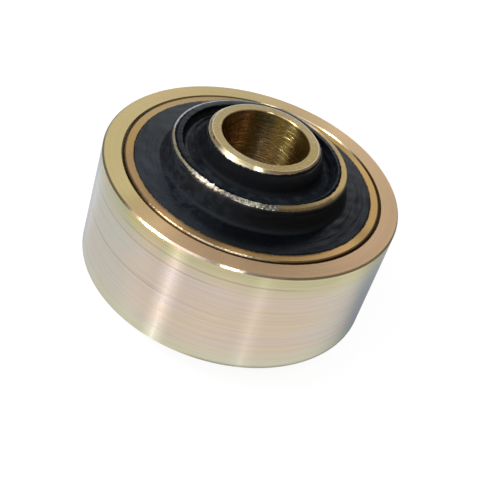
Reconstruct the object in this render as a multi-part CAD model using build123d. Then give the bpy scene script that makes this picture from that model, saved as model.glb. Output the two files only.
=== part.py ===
"""Two-stage rubber-to-metal bush, every piece turned about the +Z axis.

From the inside out: a thick tube for the bolt, a rubber layer, a middle steel sleeve, a
second rubber layer, an outer steel sleeve, and the thick ring that the sleeve is pressed
into. The rubber layers are bonded to the metal on both sides. The bush is the same at both
ends. The origin is on the axis at mid-length, and sizes are in millimetres.
"""
from build123d import *
import os

# Bore and the thickness of each layer around it
bore_diameter = 20.4
tube_wall = 2.8
inner_rubber_thickness = 5.5
middle_sleeve_wall = 2.0
outer_rubber_thickness = 7.5
outer_sleeve_wall = 2.25
ring_wall = 4.75

# Length of the ring, and how far the other metal pieces stand proud of it at each end
ring_width = 28.0
outer_sleeve_stand = 0.2
middle_sleeve_stand = 6.0
tube_stand = 10.4

# Edges of the metal pieces; the two mouth chamfers make a V at the seam of ring and sleeve
ring_edge_chamfer = 0.4
ring_mouth_chamfer = 0.5
sleeve_mouth_chamfer = 0.5
middle_sleeve_edge = 0.15
tube_edge_chamfer = 0.6
bore_edge_chamfer = 0.15

# Outer rubber: a nearly flat crown from the outer sleeve's face, then a steep skirt up the middle sleeve
outer_crown_rise = 0.5
outer_skirt_foot = 0.8
outer_skirt_lip = 0.25
outer_skirt_drop = 0.15
outer_crease_radius = 0.9

# Inner rubber: a thin lip inside the middle sleeve, a recessed floor, a skirt up the tube
inner_lip_thickness = 0.35
inner_recess_depth = 1.0
inner_skirt_foot = 1.3
inner_skirt_lip = 0.25
inner_skirt_drop = 0.3
inner_crease_radius = 1.0
lip_root_radius = 0.3

# Radii of the layers, and half-lengths, that follow from the sizes above
bore_radius = bore_diameter / 2
tube_radius = bore_radius + tube_wall
middle_bore_radius = tube_radius + inner_rubber_thickness
middle_radius = middle_bore_radius + middle_sleeve_wall
outer_rubber_radius = middle_radius + outer_rubber_thickness
seam_radius = outer_rubber_radius + outer_sleeve_wall
ring_radius = seam_radius + ring_wall
ring_half = ring_width / 2
sleeve_half = ring_half + outer_sleeve_stand
middle_half = ring_half + middle_sleeve_stand
tube_half = ring_half + tube_stand


def turned(upper, rounds=None):
    """Revolve a section about Z: upper corners as (radius, height), mirrored below mid-length.

    rounds maps the position of a corner in upper to its fillet radius.
    """
    lower = [(radius, -height) for radius, height in reversed(upper)]
    section = make_face(Plane.XZ * Polyline(*upper, *lower, close=True))
    for corner, fillet_radius in (rounds or {}).items():
        radius, height = upper[corner]
        for end in (height, -height):
            vertex = section.vertices().sort_by_distance((radius, 0, end))[0]
            section = fillet(vertex, fillet_radius)
    return revolve(section, Axis.Z)


def inner_tube():
    """Thick tube that the bolt passes through, the longest piece of the bush."""
    return turned([
        (bore_radius, tube_half - bore_edge_chamfer),
        (bore_radius + bore_edge_chamfer, tube_half),
        (tube_radius - tube_edge_chamfer, tube_half),
        (tube_radius, tube_half - tube_edge_chamfer),
    ])


def inner_rubber():
    """Rubber between the tube and the middle sleeve, with a skirt up the tube and a lip."""
    skirt_top = tube_half - tube_edge_chamfer - inner_skirt_drop
    recess = middle_half - inner_recess_depth
    lip_radius = middle_bore_radius - inner_lip_thickness
    return turned([
        (tube_radius, skirt_top),
        (tube_radius + inner_skirt_lip, skirt_top),
        (tube_radius + inner_skirt_foot, recess),
        (lip_radius, recess),
        (lip_radius, middle_half),
        (middle_bore_radius, middle_half),
    ], rounds={2: inner_crease_radius, 3: lip_root_radius})


def middle_sleeve():
    """Thin sleeve between the rubber layers, standing proud of the ring at both ends."""
    return turned([
        (middle_bore_radius, middle_half),
        (middle_radius - middle_sleeve_edge, middle_half),
        (middle_radius, middle_half - middle_sleeve_edge),
    ])


def outer_rubber():
    """Rubber between the middle and outer sleeves, rising in a skirt to the middle rim."""
    skirt_top = middle_half - outer_skirt_drop
    return turned([
        (middle_radius, skirt_top),
        (middle_radius + outer_skirt_lip, skirt_top),
        (middle_radius + outer_skirt_foot, sleeve_half + outer_crown_rise),
        (outer_rubber_radius, sleeve_half),
    ], rounds={2: outer_crease_radius})


def outer_sleeve():
    """Sleeve pressed into the ring, its ends a little proud of the ring's."""
    return turned([
        (outer_rubber_radius, sleeve_half),
        (seam_radius - sleeve_mouth_chamfer, sleeve_half),
        (seam_radius, sleeve_half - sleeve_mouth_chamfer),
    ])


def outer_ring():
    """Thick ring, broken at its outer edges and chamfered at the mouth of its bore."""
    return turned([
        (seam_radius, ring_half - ring_mouth_chamfer),
        (seam_radius + ring_mouth_chamfer, ring_half),
        (ring_radius - ring_edge_chamfer, ring_half),
        (ring_radius, ring_half - ring_edge_chamfer),
    ])


pieces = {
    "inner_tube": inner_tube(),
    "inner_rubber": inner_rubber(),
    "middle_sleeve": middle_sleeve(),
    "outer_rubber": outer_rubber(),
    "outer_sleeve": outer_sleeve(),
    "outer_ring": outer_ring(),
}

os.makedirs("parts", exist_ok=True)
for name, piece in pieces.items():
    export_step(piece, f"parts/{name}.step")
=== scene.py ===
"""Rubber metal bush: platings, moulded rubber, floor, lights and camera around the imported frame.

Lengths are in metres unless a name says otherwise. Angles round the bush are in degrees,
from +X and anticlockwise seen from above, so the camera stands near 270.
"""

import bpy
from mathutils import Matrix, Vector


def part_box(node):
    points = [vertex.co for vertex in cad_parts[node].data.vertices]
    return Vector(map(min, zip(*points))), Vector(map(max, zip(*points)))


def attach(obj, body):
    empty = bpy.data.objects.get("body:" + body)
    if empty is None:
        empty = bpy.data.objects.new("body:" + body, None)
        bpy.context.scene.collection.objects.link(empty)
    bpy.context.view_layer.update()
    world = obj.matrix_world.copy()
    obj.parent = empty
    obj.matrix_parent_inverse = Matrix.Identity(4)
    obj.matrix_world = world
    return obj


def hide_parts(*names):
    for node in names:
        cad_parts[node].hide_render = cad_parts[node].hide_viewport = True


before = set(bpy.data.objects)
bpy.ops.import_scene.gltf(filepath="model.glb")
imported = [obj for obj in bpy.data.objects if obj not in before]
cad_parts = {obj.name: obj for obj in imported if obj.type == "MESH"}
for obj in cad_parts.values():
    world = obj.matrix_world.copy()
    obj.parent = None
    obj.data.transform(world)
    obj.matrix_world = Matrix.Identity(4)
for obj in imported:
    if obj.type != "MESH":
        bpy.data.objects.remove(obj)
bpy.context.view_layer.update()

import copy
import math

import bpy
import numpy as np
from mathutils import Matrix, Vector, noise

MM = 0.001


# Sizes of the pieces, from the frame; a solid's chamfer can't be read from its box
def reach(node):
    """Outer radius and half-length of a CAD node."""
    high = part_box(node)[1]
    return high.x, high.z


ring_half = reach("outer_ring")[1]
seam_radius, sleeve_half = reach("outer_sleeve")
outer_rubber_radius = reach("outer_rubber")[0]
middle_radius, middle_half = reach("middle_sleeve")
middle_bore_radius = reach("inner_rubber")[0]
tube_radius, tube_half = reach("inner_tube")
tube_edge = 0.6 * MM


# Lathe meshes
def grain(points, size, seed):
    """Smooth noise, about -1 to 1, at each point; size is the width of its lumps."""
    shift = Vector((17.3, 5.1, 11.7)) * seed
    return np.array([noise.noise(Vector(p) / size + shift) for p in points])


def grain_on(radii, heights, size, seed, along=1.0):
    """Noise over a lathe grid; along stretches the lumps round the axis."""
    turns = radii.shape[0]
    angle = np.linspace(0, 2 * np.pi, turns, endpoint=False)[:, None]
    swept = middle_radius / along
    points = np.stack([
        swept * np.cos(angle) + 0 * radii,
        swept * np.sin(angle) + 0 * radii,
        heights + radii,
    ], axis=-1)
    return grain(points.reshape(-1, 3), size, seed).reshape(radii.shape)


def smooth_path(corners, rounding, step):
    """Points every step along straight runs, with the corners named in rounding eased."""
    corners = [Vector(corner) for corner in corners]
    path = [corners[0]]
    for place in range(1, len(corners) - 1):
        corner = corners[place]
        trim = rounding.get(place, 0)
        if not trim:
            path.append(corner)
            continue
        start = corner + (corners[place - 1] - corner).normalized() * trim
        end = corner + (corners[place + 1] - corner).normalized() * trim
        for t in np.linspace(0, 1, 9):
            path.append(start.lerp(corner, t).lerp(corner.lerp(end, t), t))
    path.append(corners[-1])
    path = np.array([tuple(point) for point in path])
    run = np.concatenate([[0], np.cumsum(np.hypot(*np.diff(path, axis=0).T))])
    count = int(round(run[-1] / step)) + 1
    even = np.linspace(0, run[-1], count)
    return np.interp(even, run, path[:, 0]), np.interp(even, run, path[:, 1])


def lathe(name, radii, heights, material, node, slot):
    """Closed ring mesh from radii[i, j] and heights[i, j]: i runs round, j along the section."""
    turns, points = radii.shape
    angle = np.linspace(0, 2 * np.pi, turns, endpoint=False)[:, None]
    places = np.stack([radii * np.cos(angle), radii * np.sin(angle), heights], axis=-1)
    index = np.arange(turns * points).reshape(turns, points)
    ahead = np.roll(index, -1, axis=0)
    faces = np.stack([index, np.roll(index, -1, axis=1), np.roll(ahead, -1, axis=1), ahead], axis=-1)
    mesh = bpy.data.meshes.new(name)
    mesh.from_pydata(places.reshape(-1, 3).tolist(), [], faces.reshape(-1, 4).tolist())
    mesh.shade_smooth()
    mesh.materials.append(material)
    piece = bpy.data.objects.new(name, mesh)
    bpy.context.collection.objects.link(piece)
    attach(piece, "root")
    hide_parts(node)
    return piece


# Shader nodes
class Shader:
    """Nodes of one material or world; each method adds a node and gives its output."""

    def __init__(self, owner):
        owner.use_nodes = True
        self.owner = owner
        self.tree = owner.node_tree
        self.surface = self.tree.nodes.get("Principled BSDF")

    def feed(self, socket, value):
        """Link an output to a socket, or set the socket to a number or colour."""
        if isinstance(value, bpy.types.NodeSocket):
            self.tree.links.new(value, socket)
        elif isinstance(value, tuple) and socket.type == "RGBA":
            socket.default_value = (*value, 1)
        else:
            socket.default_value = value

    def math(self, operation, *values, clamp=False):
        node = self.tree.nodes.new("ShaderNodeMath")
        node.operation = operation
        node.use_clamp = clamp
        for socket, value in zip(node.inputs, values):
            self.feed(socket, value)
        return node.outputs[0]

    def add(self, *values):
        total = values[0]
        for value in values[1:]:
            total = self.math("ADD", total, value)
        return total

    def times(self, *values):
        product = values[0]
        for value in values[1:]:
            product = self.math("MULTIPLY", product, value)
        return product

    def step(self, value, low, high):
        """0 below low, 1 above high, smooth between them; falls instead if high is the lower."""
        node = self.tree.nodes.new("ShaderNodeMapRange")
        node.interpolation_type = "SMOOTHSTEP"
        for socket, given in zip(node.inputs, (value, low, high)):
            self.feed(socket, given)
        return node.outputs[0]

    def mix(self, factor, first, second):
        """Colour from first to second as factor goes from 0 to 1."""
        node = self.tree.nodes.new("ShaderNodeMix")
        node.data_type = "RGBA"
        colours = [socket for socket in node.inputs if socket.type == "RGBA"]
        self.feed(node.inputs[0], factor)
        self.feed(colours[0], first)
        self.feed(colours[1], second)
        return next(socket for socket in node.outputs if socket.type == "RGBA")

    def combine(self, x, y, z):
        node = self.tree.nodes.new("ShaderNodeCombineXYZ")
        for socket, value in zip(node.inputs, (x, y, z)):
            self.feed(socket, value)
        return node.outputs[0]

    def noise(self, vector, scale, detail=2.0, roughness=0.5):
        node = self.tree.nodes.new("ShaderNodeTexNoise")
        self.feed(node.inputs["Vector"], vector)
        self.feed(node.inputs["Scale"], scale)
        self.feed(node.inputs["Detail"], detail)
        self.feed(node.inputs["Roughness"], roughness)
        return node.outputs["Fac"]

    def bump(self, height, distance, strength=1.0, under=None):
        node = self.tree.nodes.new("ShaderNodeBump")
        self.feed(node.inputs["Height"], height)
        self.feed(node.inputs["Distance"], distance)
        self.feed(node.inputs["Strength"], strength)
        if under is not None:
            self.feed(node.inputs["Normal"], under)
        return node.outputs["Normal"]

    def scale(self, colour, factor):
        node = self.tree.nodes.new("ShaderNodeVectorMath")
        node.operation = "SCALE"
        self.feed(node.inputs[0], colour)
        self.feed(node.inputs["Scale"], factor)
        return node.outputs[0]

    def split(self, coordinate):
        """x, y and z of one of the texture coordinates."""
        node = self.tree.nodes.new("ShaderNodeSeparateXYZ")
        self.feed(node.inputs[0], self.tree.nodes.new("ShaderNodeTexCoord").outputs[coordinate])
        return node.outputs[0], node.outputs[1], node.outputs[2]

    def seen_by_camera(self):
        """1 for what the camera sees itself, 0 for reflections and bounced light."""
        return self.tree.nodes.new("ShaderNodeLightPath").outputs["Is Camera Ray"]

    def set(self, **inputs):
        """Feed the surface's sockets, named with _ for a space."""
        for name, value in inputs.items():
            self.feed(self.surface.inputs[name.replace("_", " ")], value)


class Turned:
    """Where a shaded point lies on a turned piece: its place, radius, and its direction's cosine and sine."""

    def __init__(self, shader):
        self.shader = shader
        self.x, self.y, self.z = shader.split("Object")
        squares = shader.add(shader.times(self.x, self.x), shader.times(self.y, self.y))
        self.radius = shader.math("SQRT", squares)
        self.cosine = shader.math("DIVIDE", self.x, self.radius)
        self.sine = shader.math("DIVIDE", self.y, self.radius)
        self.height = shader.math("ABSOLUTE", self.z)
        self.across = shader.add(self.radius, self.z)
        self.slope = shader.math("ABSOLUTE", shader.split("Normal")[2])

    def lines(self, pitch, length, detail=2.0):
        """Noise in streaks that run round the axis: pitch between streaks, length along one."""
        sweep = middle_radius / length
        return self.shader.noise(self.shader.combine(
            self.shader.times(self.cosine, sweep),
            self.shader.times(self.sine, sweep),
            self.shader.math("DIVIDE", self.across, pitch),
        ), 1.0, detail)

    def patches(self, size, detail=2.0):
        """Noise in patches about as wide as size."""
        return self.shader.noise(self.shader.combine(self.x, self.y, self.z), 1 / size, detail)

    def wander(self, size):
        """0 in some patches about as wide as size and 1 in others, with soft borders."""
        return self.shader.step(self.patches(size), 0.35, 0.65)

    def between(self, start, end, fade):
        """1 from angle start to end round the piece, in degrees, and fading out over fade outside them."""
        turn = math.radians((start + end) / 2)
        half = (end - start) / 2
        aligned = self.shader.add(self.shader.times(self.cosine, math.cos(turn)),
                                  self.shader.times(self.sine, math.sin(turn)))
        return self.shader.step(aligned, math.cos(math.radians(half + fade)), math.cos(math.radians(half)))

    def frayed(self, size, swing):
        """The same place with its angle moved to and fro in patches, by up to about swing degrees."""
        shift = self.shader.times(self.shader.add(self.patches(size), -0.5), math.radians(swing * 4))
        other = copy.copy(self)
        other.cosine = self.shader.add(self.cosine, self.shader.times(self.sine, shift, -1.0))
        other.sine = self.shader.add(self.sine, self.shader.times(self.cosine, shift))
        return other

    def tangent(self):
        """Direction round the axis, for the sheen of turned metal."""
        node = self.shader.tree.nodes.new("ShaderNodeTangent")
        node.direction_type = "RADIAL"
        node.axis = "Z"
        return node.outputs[0]


# Platings
SOOT = (0.014, 0.015, 0.018)
FINE_TURNING = (0.22 * MM, 70 * MM, 0.036 * MM)


def plated(name, face, wall, slope, roughness, marks=FINE_TURNING, nicks=0.01 * MM, mouth=None, scuffed_and_highlit=None):
    """Yellow-passivated zinc on a turned piece.

    face, wall and slope give the tones of the ends, of the upright surfaces and of the
    chamfers between them, and roughness holds their values; marks are the pitch, length
    and depth of the tool marks on the walls; nicks is the unevenness of the slopes;
    mouth is the radius beyond which the sleeve's chamfer is painted dark brown towards the
    seam, partly grime and partly painted shade of the seam's gap; scuffed_and_highlit is the
    radius beyond which the metal is painted pale and rough, partly worn metal and partly a
    painted highlight that carries the tube's chamfer highlight down its wall.
    """
    shader = Shader(bpy.data.materials.new(name))
    turned = Turned(shader)
    pitch, length, depth = marks
    fine = turned.lines(0.36 * MM, 55 * MM, 4.0)
    broad = turned.lines(1.3 * MM, 45 * MM)
    waves = turned.patches(1.8 * MM)
    is_face = shader.step(turned.slope, 0.8, 0.95)
    is_wall = shader.step(turned.slope, 0.6, 0.35)
    colour = shader.mix(is_face, slope(shader, turned), face(shader, turned))
    colour = shader.mix(is_wall, colour, wall(shader, turned))
    shade = shader.add(0.88, shader.times(fine, 0.22), shader.times(broad, 0.02))
    end_rough, wall_rough, slope_rough = roughness
    rough = shader.add(
        slope_rough + 0.015,
        shader.times(is_face, end_rough - slope_rough),
        shader.times(is_wall, wall_rough - slope_rough),
        shader.times(broad, 0.02),
    )
    if mouth:
        # Painted shade: the chamfer darkens towards the seam's gap, with grime there too.
        seam_grime_and_shade = shader.step(turned.radius, mouth, mouth + 0.2 * MM)
        colour = shader.mix(seam_grime_and_shade, colour, (0.10, 0.045, 0.012))
        rough = shader.add(rough, shader.times(seam_grime_and_shade, 0.4))
    if scuffed_and_highlit:
        # Painted highlight: beyond this radius the tube's edge is pale, partly worn metal and partly the
        # chamfer highlight carried down its wall.
        wear_and_highlight = shader.step(turned.radius, scuffed_and_highlit - 0.15 * MM, scuffed_and_highlit)
        colour = shader.mix(wear_and_highlight, colour, (0.84, 0.75, 0.56))
        rough = shader.add(rough, shader.times(wear_and_highlight, is_wall, 0.25))
    is_slope = shader.math("SUBTRACT", 1.0, shader.math("MAXIMUM", is_face, is_wall))
    nicked = shader.bump(turned.patches(0.9 * MM), shader.times(is_slope, nicks))
    wavy = shader.bump(waves, 0.012 * MM, under=nicked)
    grained = shader.bump(fine, 0.004 * MM, under=wavy)
    shader.set(
        Base_Color=shader.scale(colour, shade),
        Metallic=1.0,
        Roughness=rough,
        Anisotropic=1.0,
        Anisotropic_Rotation=0.25,
        Tangent=turned.tangent(),
        Normal=shader.bump(turned.lines(pitch, length), shader.times(is_wall, depth), under=grained),
    )
    return shader.owner


def in_stretches(shader, turned, colour, stretches):
    """Colour changed to another tone on stretches, given as first angle, last angle, fade and tone."""
    for start, end, fade, tone in stretches:
        colour = shader.mix(turned.between(start, end, fade), colour, tone)
    return colour


def ring_face_tone(shader, turned):
    """Ring's end: straw yellow, orange on one side and rosy next to it."""
    wander = shader.step(turned.patches(14 * MM), 0.3, 0.7)
    straw = shader.mix(wander, (0.59, 0.42, 0.19), (0.57, 0.45, 0.19))
    return in_stretches(shader, turned, straw, (
        (355, 405, 70, (0.585, 0.385, 0.20)),
        (232, 268, 14, (0.50, 0.345, 0.155)),
        (275, 335, 50, (0.64, 0.405, 0.22)),
    ))


def ring_slope_tone(shader, turned):
    """Ring's chamfers: paler than its face, with a painted highlight line on the front, painted shade at the
    back, and painted shade of the seam, dark brown, beside it on one side.
    """
    # Painted shade of the seam: the inner chamfer beside it is dark brown on one side.
    near_seam = shader.step(turned.radius, seam_radius + 0.7 * MM, seam_radius + 0.5 * MM)
    browned = shader.times(near_seam, turned.between(322, 392, 15))
    # Painted highlight along the front stretch of the chamfers; the duller tone at the back is painted shade.
    pale = shader.mix(turned.between(247, 290, 5), (0.56, 0.46, 0.28), (0.72, 0.60, 0.46))
    pale = shader.mix(turned.between(100, 170, 10), pale, (0.40, 0.30, 0.15))
    return shader.mix(browned, pale, (0.26, 0.14, 0.05))


def sleeve_face_tone(shader, turned):
    """Outer sleeve's end: gold, brighter on one stretch, browned and smeared along the rubber."""
    gold = shader.mix(turned.wander(16 * MM), (0.52, 0.325, 0.12), (0.49, 0.29, 0.095))
    gold = in_stretches(shader, turned, gold, (
        (203, 270, 15, (0.43, 0.255, 0.105)),
        (-8, 32, 12, (0.63, 0.375, 0.125)),
        (276, 325, 15, (0.75, 0.44, 0.16)),
        (55, 90, 15, (0.44, 0.265, 0.075)),
        (125, 160, 15, (0.53, 0.345, 0.146)),
    ))
    browned = shader.add(outer_rubber_radius - 0.15 * MM,
                         shader.times(turned.between(235, 305, 20), 0.3 * MM),
                         shader.times(turned.patches(0.8 * MM), 0.5 * MM))
    near = shader.step(shader.add(turned.radius, shader.times(browned, -1.0)), 0.3 * MM, -0.3 * MM)
    gold = shader.mix(shader.times(near, 0.85), gold, (0.17, 0.10, 0.045))
    limit = shader.add(outer_rubber_radius - 0.38 * MM,
                       shader.times(turned.patches(1.4 * MM, 4.0), 0.75 * MM))
    smeared = shader.step(shader.add(turned.radius, shader.times(limit, -1.0)), 0.1 * MM, -0.1 * MM)
    return shader.mix(smeared, gold, SOOT)


def sleeve_slope_tone(shader, turned):
    """Outer sleeve's mouth chamfer: gold, with a painted highlight line, broken in patches, on one stretch,
    dimmer at its start.
    """
    gold = shader.mix(turned.wander(16 * MM), (0.54, 0.41, 0.22), (0.50, 0.36, 0.18))
    # Painted highlight: a pale line along the chamfer, broken in patches.
    painted_highlight_line = shader.times(turned.frayed(0.8 * MM, 2).between(220, 288, 4),
                          shader.step(turned.patches(0.5 * MM), 0.3, 0.45))
    pale = shader.mix(turned.between(210, 252, 5), (0.97, 0.86, 0.60), (0.50, 0.385, 0.235))
    return shader.mix(painted_highlight_line, gold, pale)


def sleeve_wall_tone(shader, turned):
    """Outer sleeve's outside and bore: even gold."""
    return (0.5, 0.36, 0.17)


def ring_wall_tone(shader, turned):
    """Ring's outside: silver, pinkish on one stretch, yellow-green near the ends, with dark turning lines and
    a painted shadow along its lower edge on the front right.
    """
    wander = shader.times(shader.noise(shader.combine(turned.cosine, turned.sine, 0.0), 2.5), 3 * MM)
    edge = shader.step(shader.add(turned.height, wander), 8 * MM, 14.5 * MM)
    edge = shader.times(edge, shader.add(0.55, shader.times(turned.between(232, 335, 25), 0.45)))
    drift = shader.step(turned.lines(5 * MM, 12 * MM, 1.0), 0.3, 0.7)
    silver = shader.mix(drift, (0.78, 0.765, 0.66), (0.84, 0.745, 0.655))
    pink = shader.mix(drift, (0.85, 0.725, 0.65), (0.87, 0.725, 0.57))
    middle = shader.mix(turned.between(250, 300, 22), silver, pink)
    below = shader.step(turned.z, 4 * MM, -4 * MM)
    dapple = shader.times(shader.step(turned.lines(1.1 * MM, 3.5 * MM), 0.5, 0.62),
                          turned.between(200, 262, 20))
    upper = in_stretches(shader, turned, shader.mix(dapple, (0.74, 0.69, 0.42), (0.84, 0.66, 0.44)), (
        (175, 203, 8, (0.46, 0.42, 0.12)),
        (214, 230, 7, (0.66, 0.67, 0.42)),
        (320, 350, 10, (0.85, 0.79, 0.48)),
    ))
    gilt = shader.times(shader.step(turned.z, ring_half - 3.2 * MM, ring_half - 1.2 * MM),
                        shader.step(turned.lines(0.5 * MM, 3 * MM), 0.4, 0.6),
                        turned.between(236, 250, 8))
    upper = shader.mix(gilt, upper, (0.86, 0.70, 0.26))
    lower = shader.mix(turned.between(195, 216, 8), (0.80, 0.77, 0.59), (0.84, 0.815, 0.68))
    lower = shader.mix(turned.between(278, 318, 8), lower, (0.82, 0.79, 0.63))
    colour = shader.mix(edge, middle, shader.mix(below, upper, lower))
    streaks = shader.step(turned.lines(0.3 * MM, 14 * MM), 0.55, 0.68)
    scored = shader.times(streaks, 0.08)
    for depth, start, end in ((5.8 * MM, 212, 262), (14.0 * MM, 210, 246), (3.4 * MM, 236, 290)):
        away = shader.math("ABSOLUTE", shader.add(turned.z, depth - ring_half))
        line = shader.times(shader.step(away, 0.3 * MM, 0.08 * MM), turned.between(start, end, 14))
        scored = shader.math("MAXIMUM", scored, shader.times(line, 0.22))
    # Painted shadow: darker along the lower edge on the front right.
    foot = shader.times(shader.step(turned.z, 1.3 * MM - ring_half, 0.6 * MM - ring_half),
                        turned.between(274, 335, 12), 0.4)
    dulled = shader.add(scored, shader.times(turned.between(175, 196, 7), 0.26), foot)
    return shader.scale(colour, shader.math("SUBTRACT", 1.0, dulled))


def rim_tone(shader, turned):
    """Middle sleeve's rim: gold, worn to silver where it is thin or torn, with painted highlights and painted
    shade on stretches round it, browner over its outer part on one stretch, and painted shade along the outer
    edge of the torn stretch.
    """
    torn = turned.frayed(0.9 * MM, 3)
    gold = shader.mix(turned.wander(6 * MM), (0.63, 0.47, 0.22), (0.59, 0.42, 0.18))
    # Painted light: 226-252 and 267-281 are painted highlights where the lamps catch the torn rim; 63-98, at
    # the back, is painted shade.
    colour = in_stretches(shader, torn, gold, (
        (104, 182, 10, (0.68, 0.65, 0.60)),
        (63, 98, 8, (0.42, 0.35, 0.25)),
        (192, 216, 10, (0.48, 0.41, 0.28)),
        (226, 252, 4, (0.95, 0.87, 0.70)),
        (222, 230, 3, (0.62, 0.55, 0.40)),
        (256, 264, 2, (0.66, 0.62, 0.57)),
        (267, 281, 2, (0.85, 0.82, 0.64)),
        (284, 291, 2, (0.50, 0.50, 0.42)),
        (340, 380, 10, (0.78, 0.55, 0.22)),
    ))
    peppered = shader.add(shader.times(turned.between(186, 250, 6), 0.3),
                          shader.times(turned.between(254, 289, 4), 0.5))
    specks = shader.times(shader.step(turned.patches(0.42 * MM, 1.0), 0.47, 0.4), peppered, 1.4)
    colour = shader.mix(specks, colour, (0.12, 0.08, 0.04))
    outer = shader.step(turned.radius, middle_radius - 1.15 * MM, middle_radius - 0.75 * MM)
    # Browner over the outer part of the rim on one stretch.
    outer_brown = shader.times(outer, torn.between(293, 333, 4), shader.step(turned.patches(0.6 * MM), 0.3, 0.5))
    colour = shader.mix(outer_brown, colour, (0.41, 0.30, 0.125))
    # Painted shade: dark brown along the outer edge of the torn stretch, dulling its glint.
    edge = shader.step(turned.radius, middle_radius - 0.38 * MM, middle_radius - 0.12 * MM)
    return shader.mix(shader.times(edge, turned.between(222, 260, 6), 0.95), colour, (0.13, 0.09, 0.05))


def tube_face_tone(shader, turned):
    """Tube's end: gold, deeper on one side, with a painted highlight line along its outer edge, standing in
    for light caught by a rounded edge.
    """
    gold = shader.mix(turned.wander(9 * MM), (0.395, 0.30, 0.145), (0.37, 0.265, 0.12))
    colour = in_stretches(shader, turned, gold, (
        (190, 225, 20, (0.36, 0.255, 0.11)),
        (45, 88, 12, (0.35, 0.25, 0.11)),
        (138, 176, 12, (0.35, 0.25, 0.11)),
        (290, 365, 25, (0.37, 0.255, 0.092)),
    ))
    colour = shader.mix(shader.step(turned.patches(0.5 * MM, 4.0), 0.52, 0.66), colour, (0.46, 0.36, 0.17))
    # Painted highlight: a pale line just inside the face's outer edge.
    edge = tube_radius - tube_edge
    line = shader.step(turned.radius, edge - 0.25 * MM, edge - 0.05 * MM)
    return shader.mix(shader.times(line, 0.7), colour, (0.72, 0.66, 0.50))


def tube_slope_tone(shader, turned):
    """Tube's chamfers: pale gold on the front where the lamps' highlights fall and duller on either side,
    painted light, with painted shade in the dip between the two highlights and brown marks on the left.
    """
    # Painted light: paler where the lamps' highlights fall, darker at 253-260 as painted shade between them,
    # toned down at 236-250.
    bright = in_stretches(shader, turned, (0.86, 0.76, 0.40), (
        (253, 260, 4, (0.55, 0.48, 0.22)),
        (236, 250, 4, (0.72, 0.63, 0.25)),
    ))
    dull = shader.mix(turned.between(185, 228, 15), (0.72, 0.53, 0.25), (0.92, 0.65, 0.24))
    colour = shader.mix(turned.between(230, 280, 8), dull, bright)
    marks = shader.times(shader.step(turned.patches(0.55 * MM, 1.0), 0.5, 0.4),
                         turned.frayed(1.2 * MM, 4).between(172, 219, 6))
    return shader.mix(shader.times(marks, 0.75), colour, (0.20, 0.13, 0.045))


def bore_tone(shader, turned):
    """Tube's bore: brassy on one side and olive and then brown further round, painted light and shade from
    the lamp on the left, darker deeper down as painted shade, with a rosy painted reflection low down between
    them.
    """
    # Painted light: brighter and brassier on the side the left lamp lights, darker further round as painted
    # shade.
    brass = shader.mix(turned.between(20, 56, 10), (0.53, 0.42, 0.145), (0.75, 0.59, 0.205))
    lit_and_shaded_tone = in_stretches(shader, turned, brass, (
        (92, 150, 14, (0.225, 0.18, 0.09)),
        (125, 160, 14, (0.39, 0.235, 0.155)),
    ))
    blend = shader.add(shader.times(turned.patches(7 * MM), 10 * MM), turned.z)
    # Painted shade: darker deeper in the bore.
    deep_shade = shader.step(blend, tube_half - 3 * MM, tube_half - 9 * MM)
    lit_and_shaded_tone = shader.mix(shader.times(deep_shade, 0.35), lit_and_shaded_tone, (0.30, 0.18, 0.11))
    # Painted reflection: a rosy patch low down.
    rosy = shader.times(turned.between(72, 92, 8),
                        shader.step(turned.z, ring_half + 6 * MM, ring_half + 1 * MM), 0.5)
    return shader.mix(rosy, lit_and_shaded_tone, (0.56, 0.40, 0.25))


ring_plating = plated("ring_plating", ring_face_tone, ring_wall_tone, ring_slope_tone, (0.2, 0.15, 0.25))
sleeve_plating = plated("sleeve_plating", sleeve_face_tone, sleeve_wall_tone, sleeve_slope_tone,
                        (0.24, 0.3, 0.38), nicks=0.08 * MM, mouth=seam_radius - 0.35 * MM)
rim_plating = plated("rim_plating", rim_tone, rim_tone, rim_tone, (0.35, 0.35, 0.35))
tube_plating = plated("tube_plating", tube_face_tone, bore_tone, tube_slope_tone,
                      (0.17, 0.2, 0.3), marks=(0.5 * MM, 8 * MM, 0.32 * MM), scuffed_and_highlit=tube_radius - 0.15 * MM)


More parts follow.
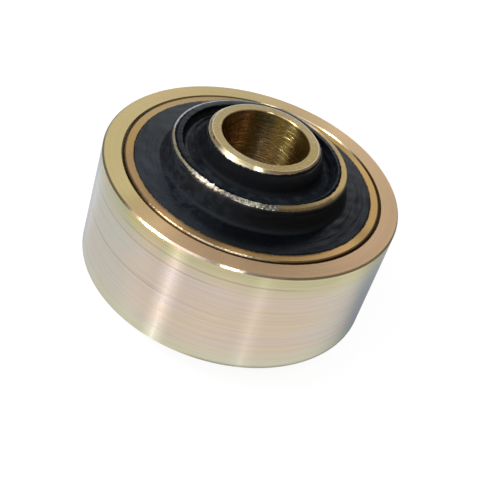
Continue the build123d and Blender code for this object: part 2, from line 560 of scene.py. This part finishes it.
def rubber_material(name, shine):
    """Moulded rubber: blue-black, satin, with paler patches of surface film painted brighter as sheen on the
    sides where the light falls, smears, grey patches that are partly a dusting and partly painted sheen, and
    dull creases that those grey patches leave darker as painted shade.
    """
    shader = Shader(bpy.data.materials.new(name))
    turned = Turned(shader)
    fine = turned.patches(0.4 * MM)
    smear = turned.lines(0.7 * MM, 9 * MM)
    blotch = shader.step(turned.patches(1.9 * MM, 5.0), 0.42, 0.64)
    steep = shader.step(turned.slope, 0.6, 0.35)
    outside = shader.step(turned.radius, middle_radius - 0.5 * MM, middle_radius)
    # Painted sheen: the paler film is brighter on the back left and front left, where the light falls.
    back_left = shader.times(turned.between(125, 215, 25), shader.add(0.5, shader.times(outside, 0.2)))
    front_left = shader.times(turned.between(218, 245, 12), outside, 1.7)
    bloom_and_sheen = shader.times(blotch, shader.step(fine, 0.3, 0.65), shader.add(0.1, back_left, front_left))
    recess = shader.times(shader.step(turned.radius, tube_radius + 1.5 * MM, tube_radius + 2.5 * MM),
                          shader.step(turned.radius, middle_bore_radius, middle_bore_radius - 0.3 * MM))
    crease = 0.0
    for radius in (middle_radius + 1.0 * MM, tube_radius + 1.3 * MM):
        away = shader.math("ABSOLUTE", shader.add(turned.radius, -radius))
        crease = shader.math("MAXIMUM", crease, shader.step(away, 0.9 * MM, 0.3 * MM))
    # Grey patches on set stretches of the skirt and the recess: a dusting and painted sheen.
    dust_and_sheen = 0.0
    for dust_and_sheen_patch in (
        shader.times(steep, outside, turned.between(203, 258, 22)),
        shader.times(recess, turned.between(232, 322, 12)),
        shader.times(outside, turned.between(213, 240, 30), 0.8),
        shader.times(recess, turned.between(328, 392, 12), 0.6),
    ):
        dust_and_sheen = shader.math("MAXIMUM", dust_and_sheen, dust_and_sheen_patch)
    # Painted shade: the grey patches thin out in the creases.
    dust_and_sheen = shader.times(dust_and_sheen, shader.add(0.4, shader.times(blotch, 0.6)),
                        shader.add(1.0, shader.times(crease, -0.7)))
    colour = shader.mix(bloom_and_sheen, (0.0018, 0.0026, 0.0038), (0.0115, 0.0155, 0.020))
    shader.set(
        Base_Color=shader.mix(dust_and_sheen, colour, (0.017, 0.0225, 0.0295)),
        Roughness=shader.add(0.22, shader.times(bloom_and_sheen, 0.15), shader.times(smear, 0.08),
                             shader.times(crease, 0.4)),
        Specular_IOR_Level=shine,
        Normal=shader.bump(fine, 0.03 * MM, under=shader.bump(smear, 0.05 * MM)),
    )
    return shader.owner


outer_rubber = rubber_material("outer_rubber", 0.22)
inner_rubber = rubber_material("inner_rubber", 0.15)

for node, material in (("outer_ring", ring_plating), ("outer_sleeve", sleeve_plating),
                       ("inner_tube", tube_plating)):
    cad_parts[node].material_slots[0].material = material


# Outer rubber: a nearly flat crown and a skirt up the middle sleeve, at both ends
def outer_rubber_end(seed):
    """Radii and heights above mid-length of one end, from the middle sleeve outwards."""
    turns = 900
    skirt_top = middle_half - 0.15 * MM
    section = smooth_path([
        (middle_radius, skirt_top),
        (middle_radius + 0.25 * MM, skirt_top),
        (middle_radius + 0.55 * MM, ring_half + 2.2 * MM),
        (middle_radius + 0.9 * MM, sleeve_half + 0.5 * MM),
        (outer_rubber_radius, sleeve_half + 0.03 * MM),
    ], {1: 0.15 * MM, 2: 0.6 * MM, 3: 0.9 * MM}, 0.21 * MM)
    radii = np.tile(section[0], (turns, 1))
    heights = np.tile(section[1], (turns, 1))
    lumps = grain_on(radii, heights, 2.6 * MM, seed)
    smears = grain_on(radii, heights, 0.9 * MM, seed + 1, along=4)
    inward = np.clip((radii - middle_radius) / (1.5 * MM), 0, 1)
    outward = np.clip((outer_rubber_radius - radii) / (1.5 * MM), 0, 1)
    heights += (0.08 * lumps + 0.03 * smears) * MM * outward * inward
    radii += 0.06 * MM * smears * (1 - inward) * np.clip((radii - middle_radius) / (0.2 * MM), 0, 1)
    ragged = 0.12 * grain_on(radii, heights, 1.8 * MM, seed + 2)
    ragged += 0.2 * grain_on(radii, heights, 0.5 * MM, seed + 3)
    radii += ragged * MM * (1 - outward) ** 2
    foot = np.full((turns, 1), outer_rubber_radius)
    radii = np.hstack([radii, radii[:, -1:], foot])
    heights = np.hstack([heights, heights[:, -1:] - 0.08 * MM, foot * 0 + sleeve_half - 0.3 * MM])
    return radii, heights


def both_ends(end, seeds):
    """Whole section loop from an end's grid and its mirror image below."""
    upper_radii, upper_heights = end(seeds[0])
    lower_radii, lower_heights = end(seeds[1])
    radii = np.hstack([upper_radii, lower_radii[:, ::-1]])
    heights = np.hstack([upper_heights, -lower_heights[:, ::-1]])
    return radii, heights


lathe("moulded_outer_rubber", *both_ends(outer_rubber_end, (1, 5)), outer_rubber, "outer_rubber", "rubber")


# Inner rubber: skirt up the tube, recessed floor, lip and a thin flash over the sleeve's rim
flash_edge = {  # angle round the rim: radius that the flash reaches over it, in millimetres
    0: 19.05, 20: 19.2, 60: 19.4, 72: 19.9, 80: 20.25, 98: 20.25, 112: 19.95, 135: 19.9, 185: 20.0,
    200: 19.75, 222: 19.6, 231: 19.15, 240: 19.08, 252: 19.08, 264: 18.85, 287: 18.8, 292: 18.5,
    315: 18.6, 327: 18.85, 338: 19.1, 360: 19.05,
}
skirt_drop = {  # angle round the tube: how far below the tube's end its rubber skirt stops, in millimetres
    0: 0.45, 20: 0.6, 60: 0.9, 180: 0.95, 225: 0.95, 243: 1.05, 260: 0.85, 285: 0.65, 300: 0.45, 330: 0.35,
    345: 0.35, 360: 0.45,
}


def inner_rubber_end(seed):
    """Radii and heights above mid-length of one end, from the tube outwards."""
    turns = 720
    lip = middle_bore_radius - 0.35 * MM
    skirt_foot = tube_radius + 1.3 * MM
    skirt_top = tube_half - max(skirt_drop.values()) * MM
    section = smooth_path([
        (tube_radius, skirt_top),
        (tube_radius + 0.25 * MM, skirt_top),
        (skirt_foot, middle_half - 0.75 * MM),
        (lip - 0.9 * MM, middle_half - 1.5 * MM),
        (lip - 0.05 * MM, middle_half - 0.45 * MM),
        (lip, middle_half + 0.1 * MM),
    ], {1: 0.15 * MM, 2: 0.9 * MM, 3: 0.8 * MM, 4: 0.2 * MM}, 0.19 * MM)
    radii = np.tile(section[0], (turns, 1))
    heights = np.tile(section[1], (turns, 1))
    angle = np.linspace(0, 360, turns, endpoint=False)
    falling = middle_half - 0.45 * MM - 0.38 * (radii - skirt_foot)
    one_side = np.clip((np.cos(np.radians(angle)) - 0.25) / 0.4, 0, 1)[:, None]
    one_side = one_side * (radii > skirt_foot) * (radii < lip - 0.1 * MM)
    heights += one_side * np.minimum(falling - heights, 0)
    lumps = grain_on(radii, heights, 2.2 * MM, seed)
    smears = grain_on(radii, heights, 0.8 * MM, seed + 1, along=6)
    clear = np.clip((radii - tube_radius) / (0.3 * MM), 0, 1)
    heights += (0.06 * lumps + 0.02 * smears) * MM * clear
    radii += 0.04 * MM * smears * clear
    drop = np.interp(angle, list(skirt_drop), list(skirt_drop.values()))[:, None] * MM
    drop += 0.1 * MM * grain_on(drop, drop, 1.5 * MM, seed + 4)
    nibbled = 0.1 + 0.15 * np.clip((45 - np.abs(angle - 232)) / 10, 0, 1)[:, None]
    drop += nibbled * MM * grain_on(drop, drop, 0.5 * MM, seed + 5)
    high = np.clip((heights - middle_half) / (skirt_top - middle_half), 0, 1)
    heights += (tube_half - drop - skirt_top) * high
    past_chamfer = np.clip(heights - (tube_half - tube_edge), 0, None)
    radii -= past_chamfer * np.clip((tube_radius + MM - radii) / MM, 0, 1)
    edge = np.interp(angle, list(flash_edge), list(flash_edge.values()))[:, None] * MM
    edge += 0.12 * MM * grain_on(edge, edge, 0.9 * MM, seed + 2)
    edge = np.maximum(edge, middle_bore_radius + 0.02 * MM)
    width = edge - lip
    behind = np.clip((50 - np.abs(angle - 92)) / 15, 0, 1)[:, None]
    crest = middle_half + (0.22 - 0.14 * behind) * MM * np.clip(width / (1.0 * MM), 0.4, 1)
    crest += 0.06 * MM * grain_on(edge, edge, 1.3 * MM, seed + 3)
    rim = middle_half + 0.03 * MM
    flash_radii = [lip, lip + 0.08 * MM, lip + 0.25 * width, lip + 0.6 * width, edge - 0.03 * MM, edge, edge]
    flash_heights = [crest - 0.06 * MM, crest, crest, rim + 0.45 * (crest - rim), rim + 0.03 * MM,
                     rim - 0.01 * MM, middle_half - 0.03 * MM]
    full = np.ones((turns, 1))
    flash_radii = [full * radius for radius in flash_radii] + [full * middle_bore_radius]
    flash_heights = [full * height for height in flash_heights] + [full * (middle_half - 0.5 * MM)]
    return np.hstack([radii, *flash_radii]), np.hstack([heights, *flash_heights])


lathe("moulded_inner_rubber", *both_ends(inner_rubber_end, (11, 15)), inner_rubber, "inner_rubber", "rubber")


# Middle sleeve: rim cut rough over part of its turn
def middle_sleeve_end(seed):
    """Radii and heights above mid-length of one end, from the bore outwards."""
    turns = 1080
    edge = 0.15 * MM
    section = smooth_path([
        (middle_bore_radius, middle_half - 0.6 * MM),
        (middle_bore_radius, middle_half),
        (middle_radius - edge, middle_half),
        (middle_radius, middle_half - edge),
        (middle_radius, middle_half - 0.6 * MM),
    ], {}, 0.12 * MM)
    radii = np.tile(section[0], (turns, 1))
    heights = np.tile(section[1], (turns, 1))
    angle = np.linspace(0, 360, turns, endpoint=False)[:, None]
    worn = np.clip((angle - 292) / 2, 0, 1) * np.clip((352 - angle) / 12, 0, 1)
    heights -= 0.35 * MM * worn * np.clip((radii - middle_radius + 0.8 * MM) / (0.8 * MM), 0, 1) ** 1.5
    rough = np.clip((angle - 222) / 20, 0, 1) * np.clip((292.5 - angle) / 1.5, 0, 1)
    tears = grain_on(radii, heights, 0.8 * MM, seed)
    burr = np.clip((heights - middle_half + 0.4 * MM) / (0.3 * MM), 0, 1)
    heights += (0.12 * rough + 0.01) * MM * tears * burr
    outer = np.clip((radii - middle_radius + 0.5 * MM) / (0.4 * MM), 0, 1)
    radii += (0.16 * rough + 0.02) * MM * grain_on(radii, 0 * heights, 0.7 * MM, seed + 1) * burr * outer
    return radii, heights


lathe("cut_middle_sleeve", *both_ends(middle_sleeve_end, (21, 25)), rim_plating, "middle_sleeve",
      "sleeve_plating")


def direction(azimuth, elevation):
    turn, rise = math.radians(azimuth), math.radians(elevation)
    return Vector((math.cos(turn) * math.cos(rise), math.sin(turn) * math.cos(rise), math.sin(rise)))


# Floor
def floor_strip(shader, x, y, start, end):
    """Glow of a narrow strip of floor that runs through two points, widens on its way and has a halo."""
    ahead = (end - start).normalized()
    x, y = shader.add(x, -start.x), shader.add(y, -start.y)
    along = shader.add(shader.times(x, ahead.x), shader.times(y, ahead.y))
    across = shader.add(shader.times(x, -ahead.y), shader.times(y, ahead.x))
    half_width = shader.add(0.4 * MM, shader.times(along, 0.012))
    off = shader.math("DIVIDE", shader.math("ABSOLUTE", across), half_width)
    glow = shader.add(shader.times(shader.step(off, 1.4, 0.2), 0.62),
                      shader.times(shader.step(off, 16.0, 1.0), 0.27))
    return shader.times(glow, shader.step(along, -22 * MM, -12 * MM))


def add_floor():
    """Wide pale disc under the bush, plain to the camera; what the metal mirrors is a glowing card of painted
    light and shadow, with a paler bluish patch on the left, a painted shadow patch on the right and two
    glowing strips.
    """
    mesh = bpy.data.meshes.new("floor")
    wide = 3.0
    turns = np.linspace(0, 2 * np.pi, 64, endpoint=False)
    rim = [(math.cos(turn) * wide, math.sin(turn) * wide, 0) for turn in turns]
    mesh.from_pydata(rim, [], [list(range(len(rim)))])
    floor = bpy.data.objects.new("floor", mesh)
    floor.location.z = -tube_half
    bpy.context.collection.objects.link(floor)
    shader = Shader(bpy.data.materials.new("floor"))
    lit = shader.seen_by_camera()
    x, y, z = shader.split("Object")
    away = shader.math("SQRT", shader.add(shader.times(x, x), shader.times(y, y)))
    sideways = shader.math("ABSOLUTE", x)
    behind = shader.add(shader.times(y, 0.84), shader.times(sideways, -0.54))
    # Painted light and shadow for reflections: a paler bluish patch to the left and a dark painted shadow
    # patch to the right, fading with distance.
    left = shader.times(shader.step(behind, -30 * MM, -12 * MM), shader.step(x, 0.0, -20 * MM))
    right = shader.times(shader.step(behind, -40 * MM, -20 * MM), shader.step(x, 0.0, 20 * MM),
                         shader.step(away, 110 * MM, 45 * MM))
    card = shader.mix(shader.step(x, 0.0, -50 * MM), (0.56, 0.55, 0.52), (0.48, 0.48, 0.47))
    card = shader.mix(left, card, (0.61, 0.67, 0.73))
    card = shader.mix(right, card, (0.20, 0.24, 0.30))
    # Painted light: two glowing strips on the card, mirrored by the ring's side as streaks.
    for start, end, glow in (((-19, -45.5), (-40.6, -78.5), (1.6, 1.6, 1.65)),
                             ((19.3, -45.4), (39.9, -78.9), (0.88, 0.88, 0.90))):
        card = shader.mix(floor_strip(shader, x, y, Vector(start) * MM, Vector(end) * MM), card, glow)
    shader.set(
        Base_Color=(0.15, 0.15, 0.15),
        Roughness=0.9,
        Specular_IOR_Level=0.0,
        Emission_Color=shader.mix(lit, card, (0.93, 0.93, 0.93)),
        Emission_Strength=1.0,
    )
    mesh.materials.append(shader.owner)


add_floor()


# Light
def softbox(name, azimuth, elevation, width, height, radiance, distance=0.9):
    """Rectangular lamp aimed at the bush, of an even brightness over its face."""
    lamp = bpy.data.lights.new(name, "AREA")
    lamp.shape = "RECTANGLE"
    lamp.size = width
    lamp.size_y = height
    lamp.energy = radiance * math.pi * width * height
    box = bpy.data.objects.new(name, lamp)
    box.location = direction(azimuth, elevation) * distance
    box.rotation_euler = box.location.to_track_quat("Z", "Y").to_euler()
    box.visible_camera = False
    bpy.context.collection.objects.link(box)


softbox("left_softbox", 208, 44, 0.2, 0.26, 25)
softbox("front_softbox", 277, 53, 0.15, 0.2, 14)


def add_world():
    """Studio surround: bright panels behind and to the front left in a dim room, pale to the camera."""
    shader = Shader(bpy.data.worlds.new("studio"))
    bpy.context.scene.world = shader.owner
    x, y, z = shader.split("Generated")

    def panel(azimuth, elevation, edge, centre):
        """1 towards a direction, fading out; edge and centre are cosines of the angle from it."""
        aim = direction(azimuth, elevation)
        facing = shader.add(shader.times(x, aim.x), shader.times(y, aim.y), shader.times(z, aim.z))
        return shader.step(facing, edge, centre)

    room = shader.mix(panel(250, 35, 0.17, 0.64), (0.07, 0.07, 0.08), (0.32, 0.32, 0.35))
    room = shader.mix(panel(218, 44, 0.84, 0.95), room, (2.0, 1.9, 2.0))
    room = shader.mix(panel(350, 30, 0.6, 0.85), room, (0.25, 0.22, 0.20))
    room = shader.mix(panel(162, 16, 0.85, 0.96), room, (0.24, 0.23, 0.20))
    top = shader.add(z, shader.times(x, 0.4))
    sideways = shader.math("ABSOLUTE", shader.add(x, 0.035))
    behind = shader.times(shader.step(y, 0.0, 0.2), shader.step(sideways, 0.36, 0.15),
                          shader.step(top, 0.80, 0.66))
    room = shader.mix(behind, room, (1.12, 1.19, 1.29))
    background = shader.tree.nodes["Background"]
    shader.feed(background.inputs["Color"], shader.mix(shader.seen_by_camera(), room, (0.97, 0.97, 0.97)))
    background.inputs["Strength"].default_value = 1.0


add_world()
bpy.context.scene.view_settings.view_transform = "Standard"


# Camera
def add_camera():
    """Camera in front of the bush, looking down at its upper end with a tilted horizon."""
    lens, sensor = 76.77, 36.0
    height_of_aim = ring_half
    distance = 244.3 * MM
    elevation, yaw, pitch, roll = 34.756, -1.049, -3.965, 18.593
    rise = math.radians(elevation)
    camera = bpy.data.objects.new("camera", bpy.data.cameras.new("camera"))
    camera.data.lens = lens
    camera.data.sensor_width = sensor
    camera.data.clip_start = 0.01
    back = direction(270, elevation)
    up = Vector((0, math.sin(rise), math.cos(rise)))
    level = Matrix(((1, 0, 0), up, back)).transposed()
    aim = (Matrix.Rotation(math.radians(yaw), 3, "Y") @ Matrix.Rotation(math.radians(pitch), 3, "X")
           @ Matrix.Rotation(math.radians(roll), 3, "Z"))
    place = back * distance + Vector((0, 0, height_of_aim))
    camera.matrix_world = Matrix.LocRotScale(place, level @ aim, None)
    bpy.context.collection.objects.link(camera)
    bpy.context.scene.camera = camera


add_camera()
